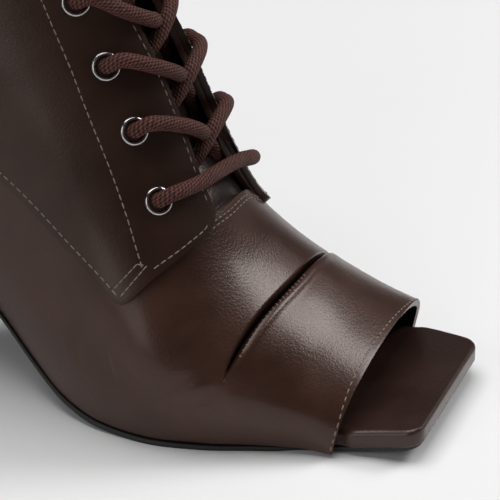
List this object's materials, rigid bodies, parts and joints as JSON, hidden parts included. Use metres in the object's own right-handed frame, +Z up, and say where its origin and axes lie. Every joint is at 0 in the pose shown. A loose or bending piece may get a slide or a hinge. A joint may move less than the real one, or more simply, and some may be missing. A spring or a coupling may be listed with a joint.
{
  "type": "peep toe ankle boot",
  "caption": "Right-foot lace-up ankle boot in dark brown leather with an open square toe, a pleated vamp and a covered block heel.",
  "frame": {"origin": "on the floor, under the middle of the boot's box", "axes": "+X to the toe, +Y to the inner side of the foot, +Z up"},
  "size_m": [0.2308, 0.0904, 0.2132],
  "materials": {
    "brown_leather": "semi-gloss",
    "footbed_leather": "semi-gloss",
    "sole_rubber": "matte",
    "eyelet_metal": "polished gunmetal",
    "lace_cotton": "matte"
  },
  "bodies": {
    "root": {"upper": "brown_leather", "quarter_lateral": "brown_leather", "quarter_medial": "brown_leather", "tongue": "brown_leather", "insole": "footbed_leather", "outsole": "sole_rubber", "heel": "brown_leather", "heel_top_piece": "sole_rubber", "eyelet_lateral_1": "eyelet_metal", "eyelet_lateral_2": "eyelet_metal", "eyelet_lateral_3": "eyelet_metal", "eyelet_lateral_4": "eyelet_metal", "eyelet_lateral_5": "eyelet_metal", "eyelet_lateral_6": "eyelet_metal", "eyelet_lateral_7": "eyelet_metal", "eyelet_lateral_8": "eyelet_metal", "eyelet_medial_1": "eyelet_metal", "eyelet_medial_2": "eyelet_metal", "eyelet_medial_3": "eyelet_metal", "eyelet_medial_4": "eyelet_metal", "eyelet_medial_5": "eyelet_metal", "eyelet_medial_6": "eyelet_metal", "eyelet_medial_7": "eyelet_metal", "eyelet_medial_8": "eyelet_metal", "lace_bar": "lace_cotton", "lace_crossing_1": "lace_cotton", "lace_crossing_2": "lace_cotton", "lace_crossing_3": "lace_cotton", "lace_crossing_4": "lace_cotton", "lace_crossing_5": "lace_cotton", "lace_crossing_6": "lace_cotton", "lace_crossing_7": "lace_cotton"}
  },
  "joints": []
}
